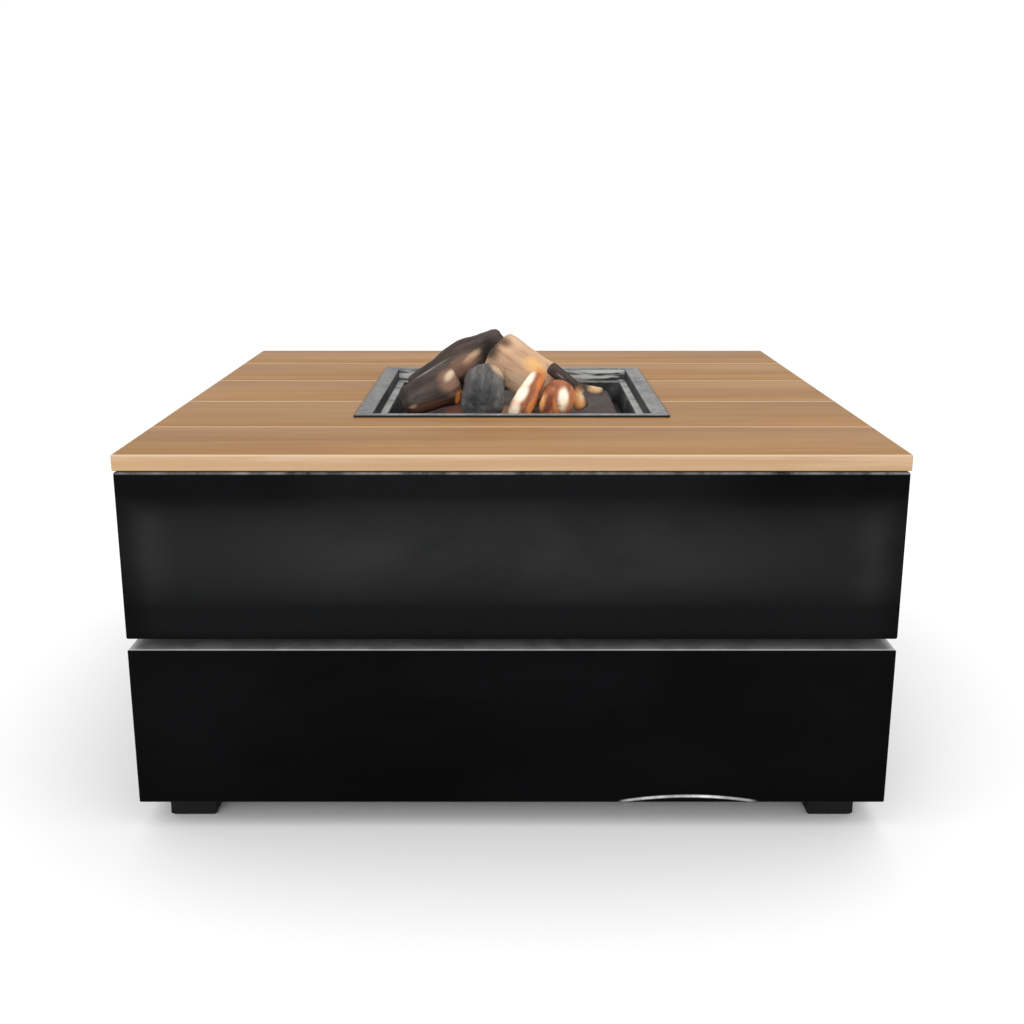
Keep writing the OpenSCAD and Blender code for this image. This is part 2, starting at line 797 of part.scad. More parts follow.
// ---------- output ----------

plank_front();
plank_front_middle();
plank_middle_left();
plank_middle_right();
plank_back_middle();
plank_back();
top_battens();
plank_screws();
base_frame();
post_front_left();
post_front_right();
post_back_left();
post_back_right();
top_frame();
burner_rails();
base_shelf();
foot_front_left();
foot_front_right();
foot_back_left();
foot_back_right();
foot_screws();
panel_upper_front();
panel_upper_left();
panel_upper_right();
panel_lower_front();
panel_lower_left();
panel_lower_right();
panel_clips();
door_frame();
door_panel_upper();
door_panel_lower();
hinge_fixed_leaves();
hinge_door_leaves();
hinge_pins();
door_pull();
magnet_catches();
burner_frame();
burner_tray();
heat_shield();
burner_ring();
gas_pipe();
pilot_assembly();
thermocouple();
ignition_lead();
grate();
ember_bed();
log_left();
log_low_left();
log_front();
log_right();
log_split();
log_end();
log_small();
control_panel();
valve_body();
push_collar();
valve_spindle();
control_knob();
igniter_body();
igniter_button();
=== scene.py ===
"""Gas fire pit table: teak planks, black folded-sheet body, zinc burner with glowing ceramic logs."""
import json
import math

import bpy
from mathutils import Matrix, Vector


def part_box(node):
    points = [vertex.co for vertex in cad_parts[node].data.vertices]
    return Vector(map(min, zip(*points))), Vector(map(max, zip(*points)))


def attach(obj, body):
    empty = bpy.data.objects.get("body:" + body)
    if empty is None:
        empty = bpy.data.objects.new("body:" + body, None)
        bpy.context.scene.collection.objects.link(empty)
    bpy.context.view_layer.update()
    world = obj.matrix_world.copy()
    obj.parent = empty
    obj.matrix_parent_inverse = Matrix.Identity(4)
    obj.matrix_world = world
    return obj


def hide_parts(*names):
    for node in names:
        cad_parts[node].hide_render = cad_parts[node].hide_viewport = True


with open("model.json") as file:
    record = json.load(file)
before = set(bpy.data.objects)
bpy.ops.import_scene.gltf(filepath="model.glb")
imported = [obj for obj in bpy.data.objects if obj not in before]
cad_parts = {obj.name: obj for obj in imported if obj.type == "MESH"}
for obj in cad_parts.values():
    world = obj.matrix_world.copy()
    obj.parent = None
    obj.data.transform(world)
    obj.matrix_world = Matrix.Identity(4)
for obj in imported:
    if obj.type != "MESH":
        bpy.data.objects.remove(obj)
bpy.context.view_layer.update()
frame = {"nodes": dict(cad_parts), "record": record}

MM = 0.001
BED_TOP = 484.4                                   # the ember bed's top, in millimetres
CUT_X, CUT_Y = 206.5 * MM, 230 * MM               # half of the hole in the planks
WALL_X, WALL_Y = 205 * MM, 228.5 * MM             # half of the burner's well, outside
LEDGE_Z = 493.4 * MM                              # the ledge inside the burner's rim
OPEN_X, OPEN_Y = 193 * MM, 214 * MM               # half of the opening in that ledge
LOWER_TOP, UPPER_LOW, UPPER_TOP = 0.254, 0.268, 0.490   # the two bands of panels
PANEL_FACE = 0.4985                               # from the centre to a panel's outer face


def tone(r, g, b):
    """A finish colour from the usual 0 to 255 values, as linear light."""
    return tuple(((v / 255 + 0.055) / 1.055) ** 2.4 if v > 10 else v / 255 / 12.92 for v in (r, g, b))


def at(x, y, up):
    """A point in millimetres, its height above the bed's top."""
    return (x * MM, y * MM, (BED_TOP + up) * MM)


# ---------- modelling ----------

def clear():
    """Nothing is selected."""
    if bpy.context.object and bpy.context.object.mode != "OBJECT":
        bpy.ops.object.mode_set(mode="OBJECT")
    bpy.ops.object.select_all(action="DESELECT")


def take(obj):
    """obj alone is selected and active."""
    clear()
    obj.select_set(True)
    bpy.context.view_layer.objects.active = obj


def settle(obj):
    """obj keeps its look, with its place and size in its mesh."""
    take(obj)
    bpy.ops.object.transform_apply(location=True, rotation=True, scale=True)
    return obj


def named(name):
    """The object just added, under that name."""
    obj = bpy.context.object
    obj.name = name
    return obj


def finish_with(obj, kind, **values):
    """Adds a modifier with those values and applies it."""
    take(obj)
    bpy.ops.object.modifier_add(type=kind)
    step = obj.modifiers[-1]
    for key, value in values.items():
        setattr(step, key, value)
    bpy.ops.object.modifier_apply(modifier=step.name)
    return obj


def block(name, low, high):
    """A block between two corners, to be shaped further."""
    clear()
    middle = [(a + b) / 2 for a, b in zip(low, high)]
    bpy.ops.mesh.primitive_cube_add(size=1, location=middle, scale=[b - a for a, b in zip(low, high)])
    return settle(named(name))


def rod(name, start, end, radius, tip=None, sides=48):
    """A round bar between two points, tapered when a tip radius is given."""
    clear()
    start, end = Vector(start), Vector(end)
    turn = (end - start).to_track_quat("Z", "Y").to_euler()
    bpy.ops.mesh.primitive_cone_add(vertices=sides, radius1=radius, radius2=radius if tip is None else tip,
                                    depth=(end - start).length, location=(start + end) / 2, rotation=turn)
    return settle(named(name))


def cut(obj, *tools):
    """Takes the tools' shapes out of obj."""
    for tool in tools:
        finish_with(obj, "BOOLEAN", operation="DIFFERENCE", object=tool, solver="EXACT")
        bpy.data.objects.remove(tool)
    return obj


def fuse(obj, *others):
    """Adds the others' shapes to obj."""
    for other in others:
        finish_with(obj, "BOOLEAN", operation="UNION", object=other, solver="EXACT")
        bpy.data.objects.remove(other)
    return obj


def round_edges(obj, width, segments=3):
    """Rounds the sharp edges and shades the object smooth between them."""
    finish_with(obj, "BEVEL", width=width, segments=segments, limit_method="ANGLE",
                angle_limit=math.radians(30))
    take(obj)
    bpy.ops.object.shade_smooth_by_angle(angle=math.radians(40))
    return obj


def join(name, parts):
    """Several pieces become one object."""
    clear()
    for part in parts:
        part.select_set(True)
    bpy.context.view_layer.objects.active = parts[0]
    bpy.ops.object.join()
    parts[0].name = name
    return parts[0]


def pick(obj, wanted):
    """In edit mode, selects the faces whose centre and normal pass the test."""
    take(obj)
    bpy.ops.object.mode_set(mode="EDIT")
    bpy.ops.mesh.select_mode(type="FACE")
    bpy.ops.mesh.select_all(action="DESELECT")
    bpy.ops.object.mode_set(mode="OBJECT")
    for face in obj.data.polygons:
        face.select = wanted(face.center, face.normal)
    bpy.ops.object.mode_set(mode="EDIT")


def paint_node(node, material):
    """A CAD piece keeps its shape and takes a finish."""
    obj = frame["nodes"][node]
    if not obj.material_slots:
        obj.data.materials.append(material)
    for slot in obj.material_slots:
        slot.material = material


def place(obj, body, nodes, material):
    """obj stands for the CAD nodes, rides on their body and takes their finish."""
    obj.data.materials.clear()
    obj.data.materials.append(material)
    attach(obj, body)
    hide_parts(*([nodes] if isinstance(nodes, str) else nodes))
    return obj


# ---------- shader maths ----------

class Value:
    """A node socket that takes part in Python expressions."""

    def __init__(self, tree, socket):
        self.tree, self.socket = tree, socket

    def _math(self, operation, *inputs):
        node = self.tree.nodes.new("ShaderNodeMath")
        node.operation = operation
        for target, given in zip(node.inputs, inputs):
            if isinstance(given, Value):
                self.tree.links.new(given.socket, target)
            else:
                target.default_value = given
        return Value(self.tree, node.outputs[0])

    def __add__(self, other): return self._math("ADD", self, other)
    def __radd__(self, other): return self._math("ADD", other, self)
    def __sub__(self, other): return self._math("SUBTRACT", self, other)
    def __rsub__(self, other): return self._math("SUBTRACT", other, self)
    def __mul__(self, other): return self._math("MULTIPLY", self, other)
    def __rmul__(self, other): return self._math("MULTIPLY", other, self)
    def __truediv__(self, other): return self._math("DIVIDE", self, other)
    def __abs__(self): return self._math("ABSOLUTE", self)
    def high(self, other): return self._math("MAXIMUM", self, other)
    def low(self, other): return self._math("MINIMUM", self, other)

    def step(self, start, end):
        """0 at start, 1 at end, smooth between. start may be the greater."""
        rise = (self - start) / (end - start)
        rise = rise.high(0.0).low(1.0)
        return rise * rise * (3 - 2 * rise)


class Finish:
    """A material under construction."""

    def __init__(self, name, roughness=0.5, metallic=0.0, specular=0.5):
        self.material = bpy.data.materials.new(name)
        self.material.use_nodes = True
        self.tree = self.material.node_tree
        self.shader = self.tree.nodes["Principled BSDF"]
        self.shader.inputs["Roughness"].default_value = roughness
        self.shader.inputs["Metallic"].default_value = metallic
        self.shader.inputs["Specular IOR Level"].default_value = specular
        self.place = self.node("ShaderNodeTexCoord")("Object")

    def node(self, kind, settings=None, **inputs):
        """Any node: its settings first, then the values or links of its sockets."""
        made = self.tree.nodes.new(kind)
        for key, value in (settings or {}).items():
            if key == "stops":
                while len(made.color_ramp.elements) < len(value):
                    made.color_ramp.elements.new(0.5)
                for element, (where, colour) in zip(made.color_ramp.elements, value):
                    element.position = where
                    element.color = (*colour, 1)
            else:
                setattr(made, key, value)
        for key, value in inputs.items():
            numbered = key[0] == "i" and key[1:].isdigit()
            target = made.inputs[int(key[1:])] if numbered else made.inputs[key.replace("_", " ")]
            if isinstance(value, Value):
                self.tree.links.new(value.socket, target)
            elif isinstance(value, tuple) and target.type == "RGBA":
                target.default_value = (*value, 1)
            else:
                target.default_value = value
        return lambda output: Value(self.tree, made.outputs[output])

    def turned(self, centre=(0, 0, 0), turn=(0, 0, 0), size=(1, 1, 1)):
        """Object coordinates, moved to a centre, turned, and then scaled."""
        moved = self.node("ShaderNodeVectorMath", {"operation": "SUBTRACT"}, i0=self.place, i1=centre)(0)
        turned = self.node("ShaderNodeMapping", Vector=moved, Rotation=turn)(0)
        return self.node("ShaderNodeVectorMath", {"operation": "MULTIPLY"}, i0=turned, i1=size)(0)

    def noise(self, where, scale, detail=3.0, roughness=0.5, distortion=0.0):
        return self.node("ShaderNodeTexNoise", Vector=where, Scale=scale, Detail=detail,
                         Roughness=roughness, Distortion=distortion)("Fac")

    def cells(self, where, scale, feature="F1"):
        return self.node("ShaderNodeTexVoronoi", {"feature": feature}, Vector=where, Scale=scale)("Distance")

    def mix(self, mask, first, second):
        """first where the mask is 0, second where it is 1. Both are colours."""
        return self.node("ShaderNodeMix", {"data_type": "RGBA"}, i0=mask, i6=first, i7=second)(2)

    def ramp(self, value, *stops):
        return self.node("ShaderNodeValToRGB", {"stops": stops}, Fac=value)("Color")

    def axis(self, letter):
        return self.node("ShaderNodeSeparateXYZ", Vector=self.place)(letter)

    def spot(self, centre, size, turn=(0, 0, 0), warp=0.0, soft=0.5):
        """1 inside an ellipsoid of those half sizes, fading to 0 at its skin. warp roughens it."""
        inside = self.turned(centre, turn, tuple(1 / s for s in size))
        reach = self.node("ShaderNodeVectorMath", {"operation": "LENGTH"}, i0=inside)("Value")
        return (reach + warp).step(1.0, 1.0 - soft)

    def paint(self, name, value):
        """Links a value to the shader's socket, or sets a plain colour on it."""
        target = self.shader.inputs[name]
        if isinstance(value, Value):
            self.tree.links.new(value.socket, target)
        else:
            target.default_value = (*value, 1)

    def bump(self, height, distance, strength=1.0):
        raised = self.node("ShaderNodeBump", Height=height, Distance=distance, Strength=strength)("Normal")
        self.tree.links.new(raised.socket, self.shader.inputs["Normal"])


# ---------- camera, lights and floor ----------

def camera():
    """At the eye height of a person who sits down in front."""
    clear()
    bpy.ops.object.camera_add(location=(0.0002, -2.0385, 0.8419), rotation=(math.radians(90 - 14.674), 0, 0))
    eye = named("eye")
    eye.data.sensor_width = 36
    eye.data.lens = 44.44
    bpy.context.scene.camera = eye


def soft_box(name, place_at, aim, size, power):
    """A rectangular white lamp that faces its aim."""
    clear()
    turn = (Vector(aim) - Vector(place_at)).to_track_quat("-Z", "Y").to_euler()
    bpy.ops.object.light_add(type="AREA", location=place_at, rotation=turn)
    light = named(name)
    light.data.shape = "RECTANGLE"
    light.data.size, light.data.size_y = size
    light.data.energy = power


def studio():
    """Plain pale floor, even white surroundings and two soft lamps."""
    world = bpy.data.worlds.new("studio")
    world.use_nodes = True
    sky = world.node_tree.nodes["Background"].inputs
    sky["Color"].default_value = (1, 1, 1, 1)
    sky["Strength"].default_value = 1.04
    bpy.context.scene.world = world
    bpy.context.scene.view_settings.view_transform = "Standard"
    soft_box("front_light", (-0.6, -3.6, 1.3), (0, -0.4, 0.45), (2.6, 1.4), 42)
    soft_box("top_light", (0.5, 0.6, 3.0), (0, 0, 0.5), (1.6, 1.6), 12)
    clear()
    bpy.ops.mesh.primitive_plane_add(size=60)
    floor = named("floor")
    surface = Finish("floor_white", roughness=1.0, specular=0.0)
    surface.paint("Base Color", (0.97, 0.97, 0.97))
    floor.data.materials.append(surface.material)


# ---------- finishes ----------

def oiled_teak(name, seed, low, high):
    """Straight-grained oiled teak, the grain along X, with a painted highlight along the long top edges and
    the long side faces painted paler, as lit.
    """
    wood = Finish(name, roughness=0.45, specular=0.06)
    shift = (seed * 1.37, seed * 0.83, seed * 0.21)
    broad = wood.noise(wood.turned(shift, size=(0.9, 9, 9)), 1.7, detail=4, distortion=0.5)
    bands = wood.noise(wood.turned(shift, size=(0.7, 26, 26)), 2.2, detail=5, roughness=0.6, distortion=0.4)
    fibres = wood.noise(wood.turned(shift, size=(1.4, 90, 90)), 6, detail=5, roughness=0.65)
    pores = wood.noise(wood.turned(shift, size=(4, 260, 260)), 6, detail=2)
    colour = wood.ramp(broad, (0.3, tone(147, 107, 64)), (0.5, tone(157, 117, 73)),
                       (0.72, tone(168, 128, 83)))
    colour = wood.mix(bands.step(0.52, 0.72) * 0.5, colour, tone(142, 100, 58))
    colour = wood.mix(bands.step(0.45, 0.28) * 0.4, colour, tone(176, 139, 94))
    colour = wood.mix(fibres.step(0.5, 0.75) * 0.35, colour, tone(124, 84, 48))
    colour = wood.mix(pores.step(0.58, 0.7) * 0.2, colour, tone(110, 76, 46))
    y, z = wood.axis("Y"), wood.axis("Z")
    from_side = (y - low[1]).low(high[1] - y)
    # painted highlight: a pale line along the rounded long top edges, where they catch the light
    edge_highlight = from_side.step(3.0 * MM, 1.2 * MM) * z.step(high[2] - 2.4 * MM, high[2] - 1.2 * MM)
    colour = wood.mix(edge_highlight * 0.7, colour, tone(216, 190, 162))
    # painted highlight: the long side faces painted paler than the top, as they are lit from the front
    side_highlight = from_side.step(0.9 * MM, 0.3 * MM)
    colour = wood.mix(side_highlight * (0.34 + 0.3 * bands.step(0.4, 0.6)), colour, tone(206, 181, 154))
    wood.paint("Base Color", colour)
    wood.paint("Roughness", 0.4 + 0.2 * fibres)
    wood.bump(fibres * 0.5 + bands * 0.3 + pores * 0.2, 0.0005, 0.4)
    return wood.material


def black_coat():
    """Satin black powder coat on sheet steel, a little cloudy, with a painted reflection across the upper
    band, the upper band painted paler than the lower, and painted highlights along the folds.
    """
    coat = Finish("black_coat", roughness=0.3, specular=0.03)
    z, y, across = coat.axis("Z"), coat.axis("Y"), coat.axis("X")
    aside = abs(across)
    cloud = coat.noise(coat.turned(size=(1.2, 1.2, 2.2)), 3.2, detail=5, roughness=0.55, distortion=0.4)
    smear = coat.noise(coat.turned(size=(0.6, 0.6, 7)), 6, detail=5, roughness=0.6)
    grain = coat.noise(coat.place, 850, detail=2)
    # painted reflection: a paler cloud across the middle of the upper band, standing for the soft reflection
    # of the studio, fading to its corners and ends
    sheen = (z - 0.385) / 0.075
    band = 1 - (sheen * sheen).low(1.0)
    sides = aside.step(0.12, 0.40) * aside.step(0.47, 0.42)
    corner = (aside.step(0.2, 0.33) * z.step(0.425, 0.47)).high(aside.step(0.455, 0.497) * 0.8)
    reflection_amount = band * (1 - 0.5 * sides) * (0.45 + 0.55 * cloud.step(0.22, 0.6)) * (1 - 0.9 * corner)
    colour = coat.mix(cloud.step(0.35, 0.75), (0.0008, 0.0009, 0.0012), (0.0022, 0.0024, 0.0028))
    # painted light: the upper band painted paler than the lower band, less so towards its corners
    upper = z.step(UPPER_LOW - 6 * MM, UPPER_LOW + 17 * MM)
    colour = coat.mix(upper * (0.8 - 0.7 * corner), colour, (0.0054, 0.0057, 0.0062))
    colour = coat.mix(reflection_amount * 0.95, colour, (0.0215, 0.022, 0.0227))
    # painted light and wear: the lower band's top fold painted pale grey as a painted reflection, brightest
    # at its front and ends, the upper band's top edge painted pale as a painted highlight, and a scuff near
    # the floor
    patchy = coat.noise(coat.turned(size=(1, 1, 0.3)), 14, detail=6, roughness=0.7)
    ledge = z.step(LOWER_TOP - 1.5 * MM, LOWER_TOP - 0.3 * MM)
    ledge = ledge * z.step(LOWER_TOP + 2 * MM, LOWER_TOP + 0.5 * MM)
    front = y.step(2.5 * MM - PANEL_FACE, 0.3 * MM - PANEL_FACE)
    ends = aside.step(0.484, 0.497)
    ledge_reflection = ledge * (0.26 + 0.12 * patchy.step(0.4, 0.6) + 0.62 * front.high(ends * 0.7))
    colour = coat.mix(ledge_reflection, colour, (0.66, 0.66, 0.66))
    outer = aside.high(abs(y)).step(PANEL_FACE - 4.5 * MM, PANEL_FACE - 2.3 * MM)
    # painted highlight: the upper band's top fold, under the planks, painted pale in patches
    top_edge_highlight = z.step(UPPER_TOP - 3.8 * MM, UPPER_TOP - 2 * MM) * outer * patchy.step(0.3, 0.7)
    colour = coat.mix(top_edge_highlight * 0.8, colour, (0.30, 0.29, 0.28))
    along = (across - 0.236) / 0.095
    arch = 1 - (along * along).low(1.0)
    scuff = abs(z - 0.0372 - 0.0085 * arch).step(2.8 * MM, 0.6 * MM)
    scuff = scuff * arch.step(0.0, 0.3) * y.step(1.5 * MM - PANEL_FACE, 0.5 * MM - PANEL_FACE)
    colour = coat.mix(scuff * (0.4 + 0.6 * patchy.step(0.4, 0.6)), colour, (0.75, 0.75, 0.76))
    coat.paint("Base Color", colour)
    coat.paint("Roughness", 0.24 + 0.22 * smear)
    coat.bump(grain, 0.00004, 0.3)
    return coat.material


def zinc(name="zinc", rim=False):
    """Dull zinc-coated steel with a mottled bloom. The rim is mitred; its left part and its outer side faces
    get painted shade, the recess's side walls are painted dark, and its back wall and ledge get mottled
    painted highlights.
    """
    metal = Finish(name, metallic=0.5, specular=0.3)
    bloom = metal.noise(metal.place, 34, detail=7, roughness=0.68)
    spangle = metal.cells(metal.place, 120)
    streak = metal.noise(metal.turned(size=(0.6, 2.0, 1)), 13, detail=6, roughness=0.65, distortion=0.5)
    colour = metal.ramp(bloom * 0.75 + spangle * 0.3, (0.25, tone(84, 84, 85)), (0.5, tone(122, 121, 120)),
                        (0.75, tone(156, 155, 154)))
    colour = metal.mix(streak.step(0.55, 0.75) * 0.5, colour, tone(70, 70, 72))
    if rim:
        across, y, z = metal.axis("X"), metal.axis("Y"), metal.axis("Z")
        aside = abs(across)
        blotch = metal.noise(metal.turned(size=(1, 1, 0.7)), 38, detail=6, roughness=0.7)
        mottling = metal.noise(metal.turned(size=(0.35, 1, 1.6)), 30, detail=5, roughness=0.6, distortion=0.8)
        shaded = across.step(-0.17, -0.215)
        colour = metal.mix(shaded * 0.32, colour, tone(64, 60, 57))
        mitre = abs((0.228 - aside) - (0.2435 - abs(y)))
        colour = metal.mix(mitre.step(1.4 * MM, 0.4 * MM) * 0.8, colour, tone(36, 36, 38))
        # painted shade: the rim's outer side faces painted dark, as a shadow line around it
        outer_side_shade = (aside - 0.2264).high(abs(y) - 0.2419)
        colour = metal.mix(outer_side_shade.step(0.0, 0.7 * MM), colour, tone(34, 33, 33))
        # the recess's side walls painted dark, in blotches
        drop = z.step(0.5140, 0.5125) * z.step(LEDGE_Z + 0.2 * MM, LEDGE_Z + 1 * MM)
        sides = drop * aside.step(WALL_X - 3 * MM, WALL_X - 2.4 * MM)
        colour = metal.mix(sides * (0.75 + 0.25 * blotch.step(0.6, 0.4)), colour, tone(36, 36, 36))
        # painted highlight: the recess's back wall painted pale grey, as lit, mottled with dark
        back = drop * y.step(WALL_Y - 3 * MM, WALL_Y - 2.3 * MM)
        mottled_grey = metal.mix(mottling.step(0.40, 0.56), tone(46, 46, 46), tone(186, 186, 184))
        colour = metal.mix(back, colour, mottled_grey)
        # painted highlight: the ledge and its edge painted pale in mottled patches
        ledge = z.step(LEDGE_Z + 2.6 * MM, LEDGE_Z + 0.6 * MM)
        ledge = ledge * z.step(LEDGE_Z - 0.9 * MM, LEDGE_Z - 0.2 * MM)
        colour = metal.mix(ledge * mottling.step(0.35, 0.55) * 0.7, colour, tone(196, 195, 193))
    metal.paint("Base Color", colour)
    metal.paint("Roughness", 0.42 + 0.3 * bloom)
    metal.bump(bloom * 0.5 + spangle * 0.3, 0.0003, 0.5)
    return metal.material


def dark_tray():
    """Dark steel tray, stained by heat and soot."""
    metal = Finish("dark_tray", metallic=0.2, specular=0.25)
    soot = metal.noise(metal.place, 24, detail=7, roughness=0.72)
    patch = metal.noise(metal.turned(size=(1, 1, 0.5)), 55, detail=5, roughness=0.6)
    colour = metal.ramp(soot, (0.32, tone(26, 26, 27)), (0.5, tone(60, 61, 61)), (0.7, tone(118, 118, 117)))
    colour = metal.mix(patch.step(0.52, 0.7) * 0.6, colour, tone(20, 20, 20))
    metal.paint("Base Color", colour)
    metal.paint("Roughness", 0.5 + 0.35 * soot)
    metal.bump(soot, 0.0006, 0.6)
    return metal.material


def brushed(name, colour, rough=0.3):
    """Bare metal brushed along X, a little cloudy."""
    metal = Finish(name, metallic=1.0, specular=0.5)
    lines = metal.noise(metal.turned(size=(2, 160, 160)), 7, detail=4)
    cloud = metal.noise(metal.place, 30, detail=3)
    darker = tuple(v * 0.72 for v in colour)
    metal.paint("Base Color", metal.mix(lines.step(0.35, 0.7) * 0.7 + cloud * 0.3, colour, darker))
    metal.paint("Roughness", rough + 0.18 * lines)
    metal.bump(lines, 0.00006, 0.4)
    return metal.material


def rough_iron():
    """Cast and welded iron, gritty, rusting in patches."""
    iron = Finish("iron", metallic=0.5, specular=0.3)
    grit = iron.noise(iron.place, 140, detail=5, roughness=0.7)
    rust = iron.noise(iron.place, 22, detail=5, roughness=0.65)
    colour = iron.mix(grit, tone(34, 32, 32), tone(62, 59, 57))
    iron.paint("Base Color", iron.mix(rust.step(0.55, 0.75) * 0.6, colour, tone(88, 60, 45)))
    iron.paint("Roughness", 0.6 + 0.25 * grit)
    iron.bump(grit, 0.0003, 0.6)
    return iron.material


def moulded(name, colour, rough=0.5):
    """Moulded plastic or rubber with a fine grain, scuffed a little."""
    plastic = Finish(name, specular=0.15)
    grain = plastic.noise(plastic.place, 1400, detail=2)
    scuff = plastic.noise(plastic.place, 60, detail=5, roughness=0.6)
    lighter = tuple(min(1, v * 1.8 + 0.004) for v in colour)
    plastic.paint("Base Color", plastic.mix(scuff.step(0.5, 0.8) * 0.6, colour, lighter))
    plastic.paint("Roughness", rough + 0.2 * scuff)
    plastic.bump(grain, 0.00006, 0.5)
    return plastic.material


def moulded_ash():
    """The ceramic bed: smooth, brown-grey, darker under the logs, with painted firelight in red, tan and
    orange patches between them.
    """
    mottled_grey = Finish("bed_grey", roughness=0.9, specular=0.15)
    cloud = mottled_grey.noise(mottled_grey.place, 16, detail=6, roughness=0.6)
    speck = mottled_grey.noise(mottled_grey.place, 420, detail=3)
    colour = mottled_grey.ramp(cloud, (0.3, tone(68, 61, 57)), (0.55, tone(86, 78, 73)), (0.8, tone(104, 95, 88)))
    warp = 0.4 * (cloud - 0.5)
    # a darker patch under the logs, then painted firelight: red, tan and orange patches where the fire's glow
    # falls between the logs
    for where, half, tint, fullness in (
        ((-40, -40, 0), (150, 150, 30), tone(52, 42, 38), 0.8),
        ((-88, -60, 0), (30, 110, 30), tone(112, 66, 50), 0.9),
        ((-6, -60, 0), (20, 110, 30), tone(190, 146, 110), 0.9),
        ((46, -80, 0), (24, 70, 30), tone(140, 80, 52), 0.9),
    ):
        mask = mottled_grey.spot(at(*where), [h * MM for h in half], warp=warp, soft=0.6) * fullness
        colour = mottled_grey.mix(mask, colour, tint)
    mottled_grey.paint("Base Color", mottled_grey.mix(speck.step(0.6, 0.75) * 0.4, colour, tone(50, 45, 42)))
    mottled_grey.bump(cloud * 0.6 + speck * 0.4, 0.001, 0.5)
    return mottled_grey.material


def fired(name, start, end, base, seed, marks):
    """Fired ceramic with bark streaks along the log, dark cracks, char and soot marks, and the fire's light
    painted on as marks, some with a weak emission.
    """
    clay = Finish(name, roughness=0.85, specular=0.12)
    turn = tuple((Vector(end) - Vector(start)).to_track_quat("Z", "Y").inverted().to_euler())
    middle = tuple((Vector(start) + Vector(end)) / 2)
    bark = clay.noise(clay.turned(middle, turn, (1, 1, 0.14)), 110, detail=6, roughness=0.6, distortion=0.3)
    streak = clay.noise(clay.turned(middle, turn, (1, 1, 0.12)), 36, detail=5, roughness=0.55, distortion=0.6)
    cloud = clay.noise(clay.turned((seed, 0, 0)), 24, detail=5, roughness=0.6)
    split = clay.cells(clay.turned(middle, turn, (1, 1, 0.35)), 90, "DISTANCE_TO_EDGE")
    dark, mid, pale = base
    colour = clay.ramp(streak * 0.5 + bark * 0.3 + cloud * 0.2, (0.34, dark), (0.5, mid), (0.66, pale))
    warp = 0.5 * (cloud - 0.5) + 0.6 * (streak - 0.5)
    glow = (0.0, 0.0, 0.0)
    for where, half, tilt, tint, light, fullness in marks:
        mask = clay.spot(at(*where), [h * MM for h in half], (0, math.radians(tilt), 0), warp, 0.7) * fullness
        colour = clay.mix(mask, colour, tint)
        glow = clay.mix(mask, glow, light)
    cracks = split.step(0.05, 0.0) * cloud.step(0.5, 0.62)
    clay.paint("Base Color", clay.mix(cracks * 0.4, colour, tone(24, 19, 17)))
    clay.paint("Emission Color", glow)
    clay.shader.inputs["Emission Strength"].default_value = 1.0
    clay.bump(bark * 0.5 + streak * 0.5 - cracks * 0.25, 0.0016, 0.55)
    return clay.material


# ---------- table top ----------

def plank(node, seed, notch=None):
    """One plank with eased edges, notched where the burner passes through it."""
    low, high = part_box(node)
    obj = block(node + "_oiled", low, high)
    if notch:
        cut(obj, block("notch", *notch))
    round_edges(obj, 2 * MM)
    place(obj, "base", node, oiled_teak("teak_" + node, seed, low, high))


def table_top():
    """Six planks, and the battens under them."""
    low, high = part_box("plank_front")
    notch = ((-CUT_X, -CUT_Y, low.z - 0.1), (CUT_X, CUT_Y, high.z + 0.1))
    notched = ("plank_front_middle", "plank_middle_left", "plank_middle_right", "plank_back_middle")
    for seed, node in enumerate(("plank_front", *notched, "plank_back"), 1):
        plank(node, seed, notch if node in notched else None)
    paint_node("top_battens", oiled_teak("teak_battens", 9, *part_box("top_battens")))


# ---------- feet ----------

def foot(node, rubber):
    """A rubber block with chamfered lower edges and a counterbore for its screw."""
    low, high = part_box(node)
    obj = block(node + "_rubber", low, high)
    x, y = (low.x + high.x) / 2, (low.y + high.y) / 2
    cut(obj, rod("bore", (x, y, -0.01), (x, y, 13 * MM), 9 * MM),
        rod("hole", (x, y, 0), (x, y, 0.05), 4.2 * MM))
    pick(obj, lambda centre, normal: normal.z < -0.9 and centre.z < low.z + 0.001)
    bpy.ops.mesh.bevel(offset=4 * MM, segments=1, affect="EDGES")
    clear()
    round_edges(obj, 1.2 * MM)
    place(obj, "base", node, rubber)


# ---------- burner ----------

def burner_frame(metal):
    """A flat rim on a skirt, hollowed down to a ledge with an opening in it."""
    low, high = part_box("burner_frame")
    rim = block("burner_frame_zinc", (-high.x, -high.y, high.z - 3 * MM), high)
    fuse(rim, block("skirt", (-WALL_X, -WALL_Y, low.z), (WALL_X, WALL_Y, high.z - 1 * MM)))
    inner_x, inner_y = WALL_X - 2 * MM, WALL_Y - 2 * MM
    cut(rim, block("recess", (-inner_x, -inner_y, LEDGE_Z), (inner_x, inner_y, 0.6)),
        block("opening", (-OPEN_X, -OPEN_Y, 0.4), (OPEN_X, OPEN_Y, 0.6)))
    round_edges(rim, 0.8 * MM)
    place(rim, "base", "burner_frame", metal)


